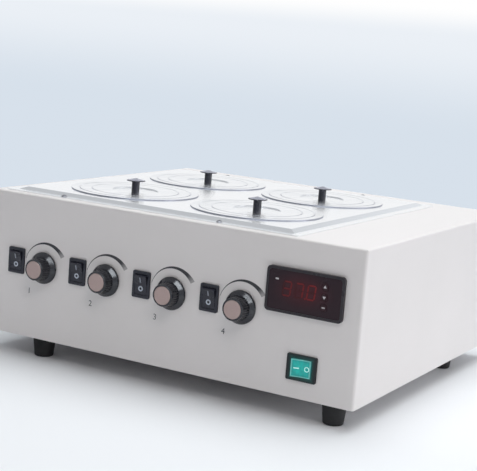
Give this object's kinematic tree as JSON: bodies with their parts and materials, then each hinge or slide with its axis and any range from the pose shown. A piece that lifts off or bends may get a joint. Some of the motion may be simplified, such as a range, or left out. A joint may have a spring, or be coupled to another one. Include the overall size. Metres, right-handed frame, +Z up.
{
  "type": "water bath magnetic stirrer",
  "caption": "Heated water bath with magnetic stirring: a painted box with nested lift-off rings and lids on top, and rocker switches, speed knobs and a temperature controller on its front.",
  "frame": {"origin": "on the bench, under the middle of the casing", "axes": "+X to the right seen from the front, +Y to the back, +Z up"},
  "size_m": [0.43, 0.4259, 0.1898],
  "materials": {
    "paint": "semi-gloss off-white powder coat",
    "stainless": "satin stainless sheet",
    "steel_bright": "bright plated steel",
    "zinc_plate": "dull zinc-plated metal",
    "cap_metal": "spun aluminium disc",
    "rubber": "matte black rubber",
    "black_plastic": "satin black moulding",
    "black_gloss": "smooth black moulding",
    "green_rocker": "translucent green moulding",
    "tinted_window": "dark tinted acrylic",
    "red_display": "dark red display face",
    "board": "green circuit board"
  },
  "bodies": {
    "bath": {"casing": "paint", "base_plate": "paint", "rubber_feet": "rubber", "case_screws": "steel_bright", "water_tank": "stainless", "cover_plate": "stainless", "vessel_shelf": "stainless", "heater_tube": "stainless", "temperature_probe": "stainless", "motor_plate": "zinc_plate", "stir_motors": "zinc_plate", "potentiometers": "zinc_plate", "switch_housings": "black_plastic", "controller_case": "black_plastic", "display_window": "tinted_window", "display_module": "red_display", "control_board": "board", "mains_inlet": "black_plastic", "drain_nozzle": "steel_bright"},
    "outer_ring_1": {"outer_ring_1": "stainless"},
    "inner_ring_1": {"inner_ring_1": "stainless"},
    "lid_1": {"lid_1": "stainless", "lid_knob_1": "black_plastic"},
    "outer_ring_2": {"outer_ring_2": "stainless"},
    "inner_ring_2": {"inner_ring_2": "stainless"},
    "lid_2": {"lid_2": "stainless", "lid_knob_2": "black_plastic"},
    "outer_ring_3": {"outer_ring_3": "stainless"},
    "inner_ring_3": {"inner_ring_3": "stainless"},
    "lid_3": {"lid_3": "stainless", "lid_knob_3": "black_plastic"},
    "outer_ring_4": {"outer_ring_4": "stainless"},
    "inner_ring_4": {"inner_ring_4": "stainless"},
    "lid_4": {"lid_4": "stainless", "lid_knob_4": "black_plastic"},
    "speed_knob_1": {"speed_knob_1": "black_plastic", "knob_cap_1": "cap_metal", "pot_spindle_1": "steel_bright"},
    "speed_knob_2": {"speed_knob_2": "black_plastic", "knob_cap_2": "cap_metal", "pot_spindle_2": "steel_bright"},
    "speed_knob_3": {"speed_knob_3": "black_plastic", "knob_cap_3": "cap_metal", "pot_spindle_3": "steel_bright"},
    "speed_knob_4": {"speed_knob_4": "black_plastic", "knob_cap_4": "cap_metal", "pot_spindle_4": "steel_bright"},
    "stir_rocker_1": {"stir_rocker_1": "black_gloss"},
    "stir_rocker_2": {"stir_rocker_2": "black_gloss"},
    "stir_rocker_3": {"stir_rocker_3": "black_gloss"},
    "stir_rocker_4": {"stir_rocker_4": "black_gloss"},
    "power_rocker": {"power_rocker": "green_rocker"},
    "key_up": {"key_up": "black_gloss"},
    "key_down": {"key_down": "black_gloss"},
    "key_set": {"key_set": "black_gloss"},
    "magnet_rotor_1": {"magnet_rotor_1": "zinc_plate"},
    "magnet_rotor_2": {"magnet_rotor_2": "zinc_plate"},
    "magnet_rotor_3": {"magnet_rotor_3": "zinc_plate"},
    "magnet_rotor_4": {"magnet_rotor_4": "zinc_plate"},
    "drain_cap": {"drain_cap": "rubber"}
  },
  "joints": [
    {"name": "outer_ring_1_lift", "type": "slide", "parent": "bath", "child": "outer_ring_1", "axis": [0, 0, 1], "range_m": [0, 0.12]},
    {"name": "inner_ring_1_lift", "type": "slide", "parent": "outer_ring_1", "child": "inner_ring_1", "axis": [0, 0, 1], "range_m": [0, 0.12]},
    {"name": "lid_1_lift", "type": "slide", "parent": "inner_ring_1", "child": "lid_1", "axis": [0, 0, 1], "range_m": [0, 0.12]},
    {"name": "outer_ring_2_lift", "type": "slide", "parent": "bath", "child": "outer_ring_2", "axis": [0, 0, 1], "range_m": [0, 0.12]},
    {"name": "inner_ring_2_lift", "type": "slide", "parent": "outer_ring_2", "child": "inner_ring_2", "axis": [0, 0, 1], "range_m": [0, 0.12]},
    {"name": "lid_2_lift", "type": "slide", "parent": "inner_ring_2", "child": "lid_2", "axis": [0, 0, 1], "range_m": [0, 0.12]},
    {"name": "outer_ring_3_lift", "type": "slide", "parent": "bath", "child": "outer_ring_3", "axis": [0, 0, 1], "range_m": [0, 0.12]},
    {"name": "inner_ring_3_lift", "type": "slide", "parent": "outer_ring_3", "child": "inner_ring_3", "axis": [0, 0, 1], "range_m": [0, 0.12]},
    {"name": "lid_3_lift", "type": "slide", "parent": "inner_ring_3", "child": "lid_3", "axis": [0, 0, 1], "range_m": [0, 0.12]},
    {"name": "outer_ring_4_lift", "type": "slide", "parent": "bath", "child": "outer_ring_4", "axis": [0, 0, 1], "range_m": [0, 0.12]},
    {"name": "inner_ring_4_lift", "type": "slide", "parent": "outer_ring_4", "child": "inner_ring_4", "axis": [0, 0, 1], "range_m": [0, 0.12]},
    {"name": "lid_4_lift", "type": "slide", "parent": "inner_ring_4", "child": "lid_4", "axis": [0, 0, 1], "range_m": [0, 0.12]},
    {"name": "speed_knob_1_turn", "type": "hinge", "parent": "bath", "child": "speed_knob_1", "pos_m": [-0.1432, -0.195, 0.098], "axis": [0, 1, 0], "range_deg": [0, 300]},
    {"name": "speed_knob_2_turn", "type": "hinge", "parent": "bath", "child": "speed_knob_2", "pos_m": [-0.0652, -0.195, 0.098], "axis": [0, 1, 0], "range_deg": [0, 300]},
    {"name": "speed_knob_3_turn", "type": "hinge", "parent": "bath", "child": "speed_knob_3", "pos_m": [0.0128, -0.195, 0.098], "axis": [0, 1, 0], "range_deg": [0, 300]},
    {"name": "speed_knob_4_turn", "type": "hinge", "parent": "bath", "child": "speed_knob_4", "pos_m": [0.0908, -0.195, 0.098], "axis": [0, 1, 0], "range_deg": [0, 300]},
    {"name": "stir_rocker_1_tilt", "type": "hinge", "parent": "bath", "child": "stir_rocker_1", "pos_m": [-0.1782, -0.195, 0.101], "axis": [-1, 0, 0], "range_deg": [0, 20]},
    {"name": "stir_rocker_2_tilt", "type": "hinge", "parent": "bath", "child": "stir_rocker_2", "pos_m": [-0.1002, -0.195, 0.101], "axis": [-1, 0, 0], "range_deg": [0, 20]},
    {"name": "stir_rocker_3_tilt", "type": "hinge", "parent": "bath", "child": "stir_rocker_3", "pos_m": [-0.0222, -0.195, 0.101], "axis": [-1, 0, 0], "range_deg": [0, 20]},
    {"name": "stir_rocker_4_tilt", "type": "hinge", "parent": "bath", "child": "stir_rocker_4", "pos_m": [0.0558, -0.195, 0.101], "axis": [-1, 0, 0], "range_deg": [0, 20]},
    {"name": "power_rocker_tilt", "type": "hinge", "parent": "bath", "child": "power_rocker", "pos_m": [0.16, -0.195, 0.052], "axis": [0, 0, -1], "range_deg": [0, 20]},
    {"name": "key_up_press", "type": "slide", "parent": "bath", "child": "key_up", "axis": [0, 1, 0], "range_m": [0, 0.0006], "stiffness_N_per_m": 400},
    {"name": "key_down_press", "type": "slide", "parent": "bath", "child": "key_down", "axis": [0, 1, 0], "range_m": [0, 0.0006], "stiffness_N_per_m": 400},
    {"name": "key_set_press", "type": "slide", "parent": "bath", "child": "key_set", "axis": [0, 1, 0], "range_m": [0, 0.0006], "stiffness_N_per_m": 400},
    {"name": "magnet_rotor_1_spin", "type": "hinge", "parent": "bath", "child": "magnet_rotor_1", "pos_m": [-0.107, -0.089, 0.0585], "axis": [0, 0, 1], "continuous": true},
    {"name": "magnet_rotor_2_spin", "type": "hinge", "parent": "bath", "child": "magnet_rotor_2", "pos_m": [0.043, -0.089, 0.0585], "axis": [0, 0, 1], "continuous": true},
    {"name": "magnet_rotor_3_spin", "type": "hinge", "parent": "bath", "child": "magnet_rotor_3", "pos_m": [-0.107, 0.065, 0.0585], "axis": [0, 0, 1], "continuous": true},
    {"name": "magnet_rotor_4_spin", "type": "hinge", "parent": "bath", "child": "magnet_rotor_4", "pos_m": [0.043, 0.065, 0.0585], "axis": [0, 0, 1], "continuous": true},
    {"name": "drain_cap_pull", "type": "slide", "parent": "bath", "child": "drain_cap", "axis": [0, 1, 0], "range_m": [0, 0.03]}
  ]
}
